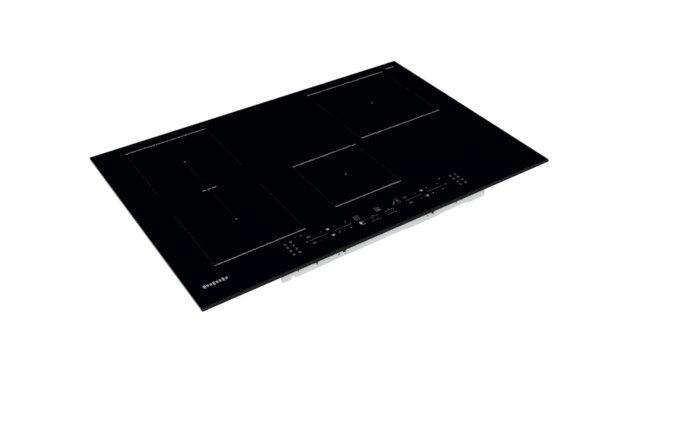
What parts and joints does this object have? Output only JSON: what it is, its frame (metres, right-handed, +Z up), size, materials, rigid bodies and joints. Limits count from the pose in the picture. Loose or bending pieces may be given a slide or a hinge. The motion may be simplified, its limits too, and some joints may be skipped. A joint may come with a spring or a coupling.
{
  "type": "induction hob",
  "caption": "Built-in induction hob: frameless black glass with a bevelled front edge over a shallow steel pan, coils, power boards, fans, touch controls and side springs.",
  "frame": {"origin": "centre of the underside of the pan, straight below the centre of the glass plate", "axes": "+Z up through the glass, +X to the right along the long side, -Y towards the cook and the controls"},
  "size_m": [0.77, 0.51, 0.054],
  "materials": {
    "black_glass": "polished, opaque black glass ceramic",
    "gasket_foam": "closed-cell foam strip",
    "silicone": "cured silicone",
    "zinc_steel": "galvanised sheet, faint spangle",
    "light_plastic": "light grey moulded plastic",
    "dark_plastic": "fine-grained moulded plastic",
    "black_plastic": "moulded plastic",
    "circuit_board": "solder-masked laminate",
    "spring_steel": "bright spring strip",
    "screw_steel": "zinc-plated",
    "cable_sheath": "pale woven sleeve",
    "felt": "ceramic-fibre felt",
    "ceramic": "unglazed ceramic",
    "aluminium": "mill finish",
    "copper": "enamelled copper",
    "ferrite": "sintered ferrite",
    "mica": "pressed mica",
    "capacitor_sleeve": "shrink sleeve"
  },
  "bodies": {
    "hob": {"adhesive_bead": "silicone", "board_tray_left": "black_plastic", "board_tray_right": "black_plastic", "bottom_pan": "zinc_steel", "capacitors": "capacitor_sleeve", "carrier_pillars": "zinc_steel", "chokes": "copper", "clip_legs": "spring_steel", "clip_screws": "screw_steel", "coil_carrier": "aluminium", "coil_leads": "cable_sheath", "coil_pads": "silicone", "control_board": "circuit_board", "cord_clamp": "dark_plastic", "display_modules": "black_plastic", "fan_housing_left": "black_plastic", "fan_housing_right": "black_plastic", "fan_motor_left": "screw_steel", "fan_motor_right": "screw_steel", "foam_gasket": "gasket_foam", "front_housing": "light_plastic", "glass_frame": "zinc_steel", "glass_plate": "black_glass", "heat_sink_left": "aluminium", "heat_sink_right": "aluminium", "insulation_felts": "felt", "left_front_ferrites": "ferrite", "left_front_former": "black_plastic", "left_front_mica": "mica", "left_front_winding": "copper", "left_rear_ferrites": "ferrite", "left_rear_former": "black_plastic", "left_rear_mica": "mica", "left_rear_winding": "copper", "light_guides": "light_plastic", "middle_front_ferrites": "ferrite", "middle_front_former": "black_plastic", "middle_front_mica": "mica", "middle_front_winding": "copper", "pan_screws": "screw_steel", "power_board_left": "circuit_board", "power_board_right": "circuit_board", "power_transistors": "black_plastic", "ribbon_cable": "cable_sheath", "right_rear_ferrites": "ferrite", "right_rear_former": "black_plastic", "right_rear_mica": "mica", "right_rear_winding": "copper", "terminal_block": "light_plastic", "terminal_box": "dark_plastic", "terminal_screws": "screw_steel", "touch_springs": "spring_steel", "zone_sensors": "ceramic"},
    "fan_left": {"fan_wheel_left": "black_plastic"},
    "fan_right": {"fan_wheel_right": "black_plastic"},
    "mains_lid": {"terminal_lid": "dark_plastic"},
    "spring_left_front": {"clip_left_front": "spring_steel"},
    "spring_left_rear": {"clip_left_rear": "spring_steel"},
    "spring_right_front": {"clip_right_front": "spring_steel"},
    "spring_right_rear": {"clip_right_rear": "spring_steel"}
  },
  "joints": [
    {"name": "fan_left_spin", "type": "hinge", "parent": "hob", "child": "fan_left", "pos_m": [-0.075, 0.02, 0.01], "axis": [0, 0, 1], "continuous": true},
    {"name": "fan_right_spin", "type": "hinge", "parent": "hob", "child": "fan_right", "pos_m": [0.075, 0.02, 0.01], "axis": [0, 0, 1], "continuous": true},
    {"name": "mains_lid_hinge", "type": "hinge", "parent": "hob", "child": "mains_lid", "pos_m": [0.183, 0.2337, 0.0251], "axis": [1, 0, 0], "range_deg": [0, 100]},
    {"name": "spring_left_front_flex", "type": "hinge", "parent": "hob", "child": "spring_left_front", "pos_m": [-0.365, -0.125, 0.046], "axis": [0, -1, 0], "range_deg": [0, 11], "stiffness_Nm_per_rad": 2},
    {"name": "spring_left_rear_flex", "type": "hinge", "parent": "hob", "child": "spring_left_rear", "pos_m": [-0.365, 0.145, 0.046], "axis": [0, -1, 0], "range_deg": [0, 11], "stiffness_Nm_per_rad": 2},
    {"name": "spring_right_front_flex", "type": "hinge", "parent": "hob", "child": "spring_right_front", "pos_m": [0.365, -0.125, 0.046], "axis": [0, 1, 0], "range_deg": [0, 11], "stiffness_Nm_per_rad": 2},
    {"name": "spring_right_rear_flex", "type": "hinge", "parent": "hob", "child": "spring_right_rear", "pos_m": [0.365, 0.145, 0.046], "axis": [0, 1, 0], "range_deg": [0, 11], "stiffness_Nm_per_rad": 2}
  ]
}
